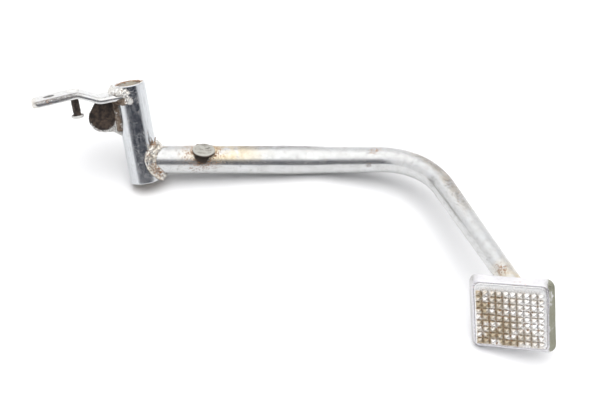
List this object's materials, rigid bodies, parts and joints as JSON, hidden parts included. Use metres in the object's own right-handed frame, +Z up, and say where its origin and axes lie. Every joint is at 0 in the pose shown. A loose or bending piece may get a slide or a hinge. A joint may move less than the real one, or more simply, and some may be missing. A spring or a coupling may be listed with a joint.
{
  "type": "rear brake pedal",
  "caption": "Chromed bent-tube motorcycle rear brake pedal: pivot tube, brake-rod lever, stop lug, spring post and studded foot pad.",
  "frame": {"origin": "middle of the pivot bore", "axes": "the pedal lies on its three bench contacts: +Z up from the bench, +X along the length from the brake-rod lever towards the foot pad"},
  "size_m": [0.2927, 0.1695, 0.0629],
  "materials": {
    "chrome_tube": "bright chrome plate, lightly worn",
    "chrome_arm": "bright chrome plate with rust pitting",
    "chrome_weld": "chrome plate over rough weld metal",
    "chrome_pad": "satin worn chrome plate",
    "tread_metal": "worn chrome plate, dirty between the studs",
    "chrome_lever": "chrome plate, scuffed along its edges",
    "rusty_weld": "thin plate over weld metal, rusted",
    "rusty_steel": "dark rusted steel",
    "worn_steel": "rough worn steel face"
  },
  "bodies": {
    "root": {"pivot_tube": "chrome_tube", "arm_tube": "chrome_arm", "arm_weld": "chrome_weld", "pad_shell": "chrome_pad", "tread_plate": "tread_metal", "pad_weld": "chrome_weld", "rod_lever": "chrome_lever", "lever_weld_inboard": "chrome_weld", "lever_weld_outboard": "rusty_weld", "spring_post": "rusty_steel", "stop_lug": "rusty_steel", "lug_weld": "rusty_weld", "stop_button": "worn_steel", "button_weld": "rusty_weld"}
  },
  "joints": []
}
